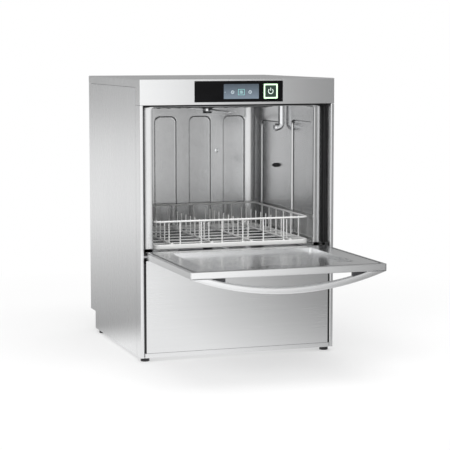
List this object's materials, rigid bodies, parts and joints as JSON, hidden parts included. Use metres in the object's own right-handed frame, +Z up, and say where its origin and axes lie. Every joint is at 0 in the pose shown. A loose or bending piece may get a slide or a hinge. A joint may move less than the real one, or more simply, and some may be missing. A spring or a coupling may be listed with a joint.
{
  "type": "front-loading undercounter warewasher",
  "caption": "Undercounter warewasher with a drop-down front door, bow handle, touch display, steel wash chamber, turning wash arms and a pull-out wire rack.",
  "frame": {"origin": "on the floor, under the centre of the casing's plan, with the feet screwed in", "axes": "+Z up, -Y out of the front, +X to the right of someone who looks along +Y from the front"},
  "size_m": [0.6, 1.031, 0.82],
  "materials": {
    "casing_steel": "fine satin brushed stainless sheet",
    "bright_steel": "bright stainless sheet, near mirror inside the chamber",
    "bare_steel": "plain steel, oiled",
    "display_black": "gloss black printed glass",
    "screen": "lit slate-blue screen",
    "ring_light": "lit pale green light guide",
    "button_cap": "dark green gloss cap",
    "grey_plastic": "moulded grey polypropylene",
    "dark_plastic": "dark grey moulded plastic",
    "black_plastic": "black moulded plastic",
    "clear_plastic": "milky translucent plastic",
    "ivory_plastic": "ivory valve body",
    "red_plastic": "red moulded rotor",
    "blue_plastic": "blue moulded rotor",
    "seal_rubber": "black sponge rubber",
    "hose_rubber": "black reinforced rubber",
    "board_green": "green circuit board",
    "motor_grey": "grey painted motor",
    "heater_sheath": "tempered heater sheath",
    "white_coat": "white nylon-coated wire"
  },
  "bodies": {
    "casing": {"top_cover": "casing_steel", "display_glass": "display_black", "touch_screen": "screen", "start_ring": "ring_light", "display_housing": "grey_plastic", "control_board": "board_green", "left_side_panel": "casing_steel", "right_side_panel": "casing_steel", "rear_panel": "casing_steel", "base_tray": "casing_steel", "front_posts": "casing_steel", "hinge_bushes": "black_plastic", "lower_front_panel": "casing_steel", "side_seals": "seal_rubber", "door_gasket": "seal_rubber", "chamber_shell": "bright_steel", "wash_tank": "bright_steel", "support_brackets": "casing_steel", "rack_rails": "bright_steel", "tank_strainers": "bright_steel", "filter_basket": "grey_plastic", "arm_posts": "grey_plastic", "arm_nuts": "grey_plastic", "fill_spout": "clear_plastic", "wall_fittings": "black_plastic", "heating_elements": "heater_sheath", "boiler": "bright_steel", "wash_pump_housing": "grey_plastic", "wash_pump_motor": "motor_grey", "pump_pipes": "hose_rubber", "riser_pipe": "hose_rubber", "drain_pump": "grey_plastic", "hoses": "hose_rubber", "drain_outlet": "black_plastic", "fill_valve": "ivory_plastic", "break_tank": "clear_plastic", "dosing_pumps": "clear_plastic", "power_box": "grey_plastic", "cable_gland": "black_plastic", "door_springs": "bare_steel"},
    "door": {"hinge_arms": "bare_steel", "door_outer_panel": "casing_steel", "door_inner_panel": "bright_steel", "door_handle": "bright_steel", "handle_fillers": "dark_plastic"},
    "rack": {"rack_base": "white_coat", "rack_sides": "white_coat", "rack_pins": "white_coat"},
    "lower_wash": {"lower_wash_arm": "grey_plastic"},
    "lower_rinse": {"lower_rinse_arm": "bright_steel"},
    "upper_wash": {"upper_wash_arm": "grey_plastic"},
    "upper_rinse": {"upper_rinse_arm": "bright_steel"},
    "button": {"start_button": "button_cap"},
    "impeller": {"wash_impeller": "black_plastic"},
    "detergent_pump_rotor": {"detergent_rotor": "red_plastic"},
    "rinse_aid_pump_rotor": {"rinse_aid_rotor": "blue_plastic"},
    "foot_front_left": {"front_left_foot": "black_plastic"},
    "foot_front_right": {"front_right_foot": "black_plastic"},
    "foot_rear_left": {"rear_left_foot": "black_plastic"},
    "foot_rear_right": {"rear_right_foot": "black_plastic"}
  },
  "joints": [
    {"name": "door_hinge", "type": "hinge", "parent": "casing", "child": "door", "pos_m": [0, -0.2935, 0.308], "axis": [-1, 0, 0], "range_deg": [0, 90], "deforming": ["door_springs"]},
    {"name": "rack_slide", "type": "slide", "parent": "casing", "child": "rack", "axis": [0, 1, 0], "range_m": [-0.43, 0]},
    {"name": "lower_wash_spin", "type": "hinge", "parent": "casing", "child": "lower_wash", "pos_m": [0, -0.00275, 0.297], "axis": [0, 0, 1], "continuous": true},
    {"name": "lower_rinse_spin", "type": "hinge", "parent": "casing", "child": "lower_rinse", "pos_m": [0, -0.00275, 0.3077], "axis": [0, 0, 1], "continuous": true},
    {"name": "upper_wash_spin", "type": "hinge", "parent": "casing", "child": "upper_wash", "pos_m": [0, -0.00275, 0.7295], "axis": [0, 0, 1], "continuous": true},
    {"name": "upper_rinse_spin", "type": "hinge", "parent": "casing", "child": "upper_rinse", "pos_m": [0, -0.00275, 0.7187], "axis": [0, 0, 1], "continuous": true},
    {"name": "start_button_press", "type": "slide", "parent": "casing", "child": "button", "axis": [0, 1, 0], "range_m": [0, 0.0015], "stiffness_N_per_m": 400},
    {"name": "wash_pump_spin", "type": "hinge", "parent": "casing", "child": "impeller", "pos_m": [0, 0.12, 0.076], "axis": [1, 0, 0], "continuous": true},
    {"name": "detergent_pump_spin", "type": "hinge", "parent": "casing", "child": "detergent_pump_rotor", "pos_m": [0.182, -0.27, 0.053], "axis": [0, 1, 0], "continuous": true},
    {"name": "rinse_aid_pump_spin", "type": "hinge", "parent": "casing", "child": "rinse_aid_pump_rotor", "pos_m": [0.232, -0.27, 0.053], "axis": [0, 1, 0], "continuous": true},
    {"name": "front_left_foot_screw", "type": "slide", "parent": "casing", "child": "foot_front_left", "axis": [0, 0, -1], "range_m": [0, 0.02]},
    {"name": "front_right_foot_screw", "type": "slide", "parent": "casing", "child": "foot_front_right", "axis": [0, 0, -1], "range_m": [0, 0.02]},
    {"name": "rear_left_foot_screw", "type": "slide", "parent": "casing", "child": "foot_rear_left", "axis": [0, 0, -1], "range_m": [0, 0.02]},
    {"name": "rear_right_foot_screw", "type": "slide", "parent": "casing", "child": "foot_rear_right", "axis": [0, 0, -1], "range_m": [0, 0.02]}
  ]
}
